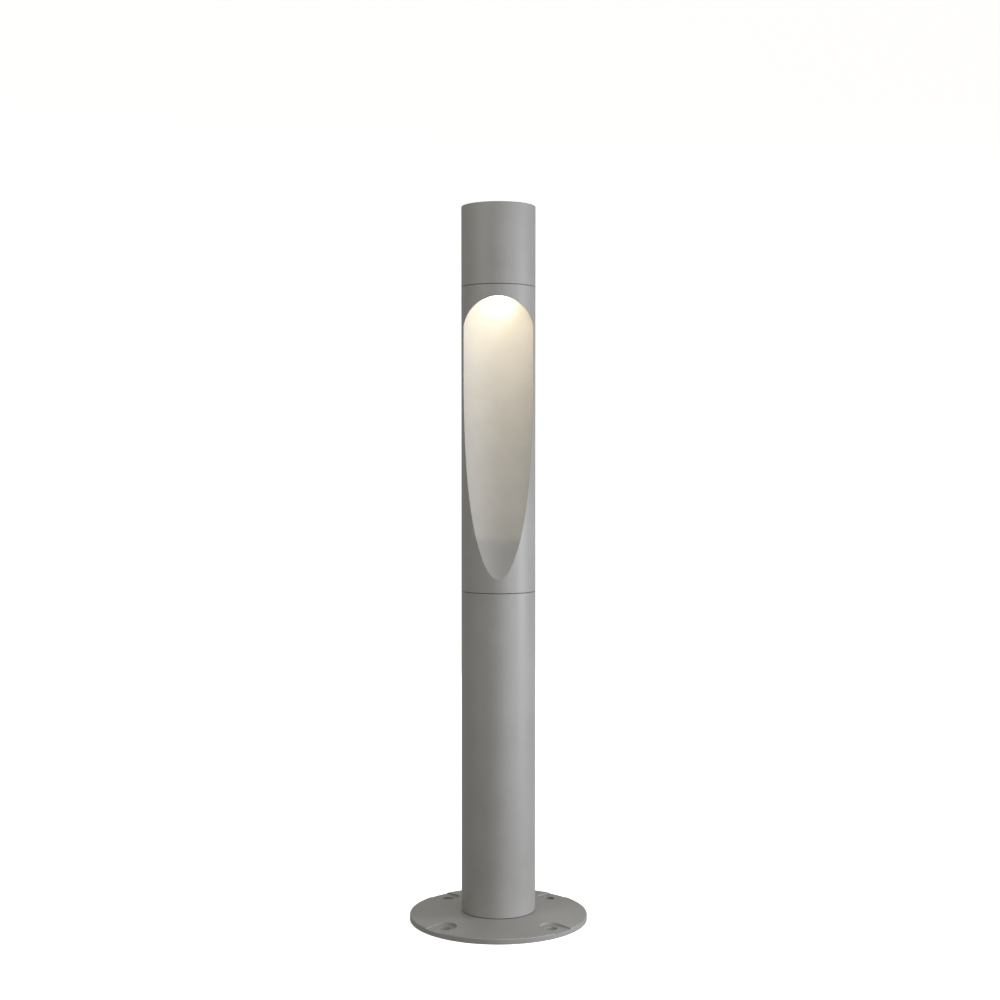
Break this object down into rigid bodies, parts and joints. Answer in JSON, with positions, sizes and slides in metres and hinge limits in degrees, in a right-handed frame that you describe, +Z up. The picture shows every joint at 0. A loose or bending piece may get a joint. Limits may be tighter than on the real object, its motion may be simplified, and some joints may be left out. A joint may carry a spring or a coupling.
{
  "type": "bollard light",
  "caption": "Slim round bollard light: post on a round coned base plate, turning head with a tall scooped recess lit warm white from above, and a plain lift-off cap.",
  "frame": {"origin": "centre of the base plate's underside, on the ground", "axes": "+Z up along the post; -Y is the lit front with the recess; +X is to the right of someone facing that front"},
  "size_m": [0.2, 0.2, 0.8],
  "materials": {
    "grey_paint": "fine satin powder coat in a warm aluminium grey",
    "cast_aluminium": "plain casting",
    "turned_aluminium": "turned",
    "black_anodised": "black anodised, fine satin",
    "zinc_steel": "zinc plated sheet",
    "stainless": "stainless fastener",
    "nickel_brass": "nickel plated brass",
    "bare_brass": "turned brass",
    "black_rubber": "moulded rubber",
    "silicone": "red-brown silicone rubber",
    "black_acetal": "slippery moulded plastic",
    "cream_plastic": "moulded plastic",
    "black_plastic": "moulded plastic",
    "white_plastic": "moulded plastic",
    "flex_sheath": "soft cable sheath",
    "core_insulation": "coloured core insulation",
    "earth_insulation": "green and yellow insulation",
    "lamp_glass": "clear flat glass",
    "board_white": "white solder resist on a metal-core board",
    "led_emitter": "phosphor dome, lit warm white",
    "gap_pad": "soft thermal pad"
  },
  "bodies": {
    "post": {"base_plate": "grey_paint", "base_seal": "black_rubber", "base_screws": "stainless", "foot_plug": "cast_aluminium", "gland_body": "nickel_brass", "gland_seal": "black_rubber", "gland_nut": "nickel_brass", "terminal_bracket": "zinc_steel", "bracket_screws": "stainless", "terminal_block": "cream_plastic", "terminal_screws": "bare_brass", "block_screws": "stainless", "strain_clip": "black_plastic", "clip_screw": "stainless", "post_flex": "flex_sheath", "block_cores": "core_insulation", "earth_lug": "zinc_steel", "earth_screw": "bare_brass", "earth_lead": "earth_insulation", "post_tube": "grey_paint", "swivel_spigot": "turned_aluminium", "spigot_grommet": "black_rubber", "swivel_ring": "black_rubber", "swivel_washer": "black_acetal"},
    "head": {"head_body": "grey_paint", "clamp_screws": "stainless", "stop_pin": "stainless", "head_flex": "flex_sheath", "deck_grommet": "black_rubber", "lens_gasket": "silicone", "lens": "lamp_glass", "lens_frame": "turned_aluminium", "frame_screws": "stainless", "led_board": "board_white", "led_chips": "led_emitter", "board_connector": "white_plastic", "thermal_pad": "gap_pad", "heat_sink": "black_anodised", "sink_screws": "stainless", "driver_bracket": "zinc_steel", "driver_bracket_screws": "stainless", "driver": "black_plastic", "driver_screws": "stainless", "lamp_leads": "core_insulation", "neck_ring": "black_rubber"},
    "cap": {"cap": "grey_paint", "cap_screws": "stainless"}
  },
  "joints": [
    {"name": "head_aim", "type": "hinge", "parent": "post", "child": "head", "pos_m": [0, 0, 0.37], "axis": [0, 0, 1], "range_deg": [-170, 170]},
    {"name": "cap_lift", "type": "slide", "parent": "head", "child": "cap", "axis": [0, 0, 1], "range_m": [0, 0.085]}
  ]
}
